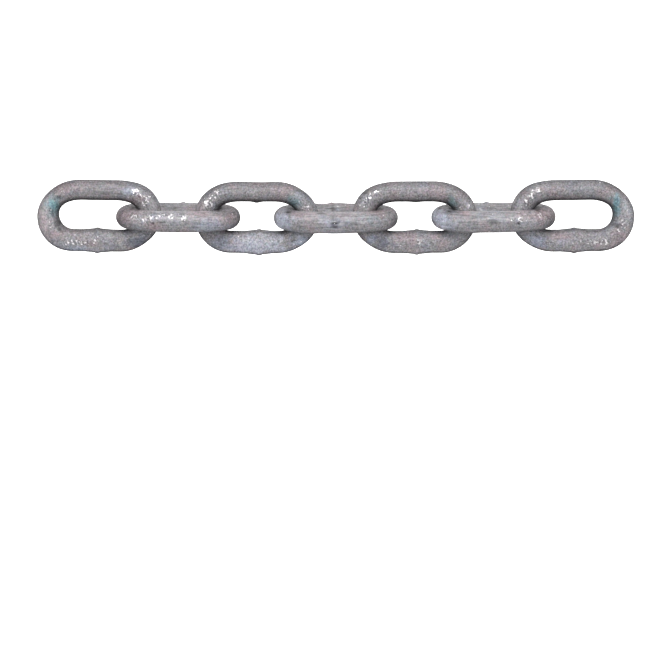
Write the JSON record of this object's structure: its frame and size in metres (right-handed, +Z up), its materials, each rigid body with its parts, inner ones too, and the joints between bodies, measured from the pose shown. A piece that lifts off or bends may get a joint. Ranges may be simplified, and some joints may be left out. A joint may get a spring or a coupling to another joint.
{
  "type": "galvanised short-link chain",
  "caption": "Run of welded short-link galvanised steel chain, laid out straight: oval wire links linked end to end, each resting on its weld, for lifting off, hanging, tying and anchoring.",
  "frame": {"origin": "centre of the row's footprint, on the surface it lies on", "axes": "+X along the row, +Y across it towards the back, +Z up"},
  "size_m": [0.19, 0.0198, 0.0188],
  "materials": {
    "zinc": "hot-dip galvanised, mottled mid grey with small bright runs"
  },
  "bodies": {
    "link_1": {"link_1": "zinc"},
    "link_2": {"link_2": "zinc"},
    "link_3": {"link_3": "zinc"},
    "link_4": {"link_4": "zinc"},
    "link_5": {"link_5": "zinc"},
    "link_6": {"link_6": "zinc"},
    "link_7": {"link_7": "zinc"}
  },
  "joints": [
    {"name": "link_2_swing", "type": "hinge", "parent": "link_1", "child": "link_2", "pos_m": [-0.059, 0.00001, 0.00978], "axis": [0.0083, 0.6691, 0.7431], "range_deg": [-60, 60]},
    {"name": "link_3_swing", "type": "hinge", "parent": "link_2", "child": "link_3", "pos_m": [-0.0339, -0.00028, 0.00937], "axis": [-0.0045, -0.7193, 0.6947], "range_deg": [-60, 60]},
    {"name": "link_4_swing", "type": "hinge", "parent": "link_3", "child": "link_4", "pos_m": [-0.0088, -0.00041, 0.00978], "axis": [0, 0.6691, 0.7431], "range_deg": [-60, 60]},
    {"name": "link_5_swing", "type": "hinge", "parent": "link_4", "child": "link_5", "pos_m": [0.0163, -0.00039, 0.00937], "axis": [0.0045, -0.7193, 0.6947], "range_deg": [-60, 60]},
    {"name": "link_6_swing", "type": "hinge", "parent": "link_5", "child": "link_6", "pos_m": [0.0414, -0.00021, 0.00978], "axis": [-0.0083, 0.6691, 0.7431], "range_deg": [-60, 60]},
    {"name": "link_7_swing", "type": "hinge", "parent": "link_6", "child": "link_7", "pos_m": [0.0665, 0.00012, 0.00937], "axis": [0.0134, -0.7192, 0.6947], "range_deg": [-60, 60]}
  ]
}
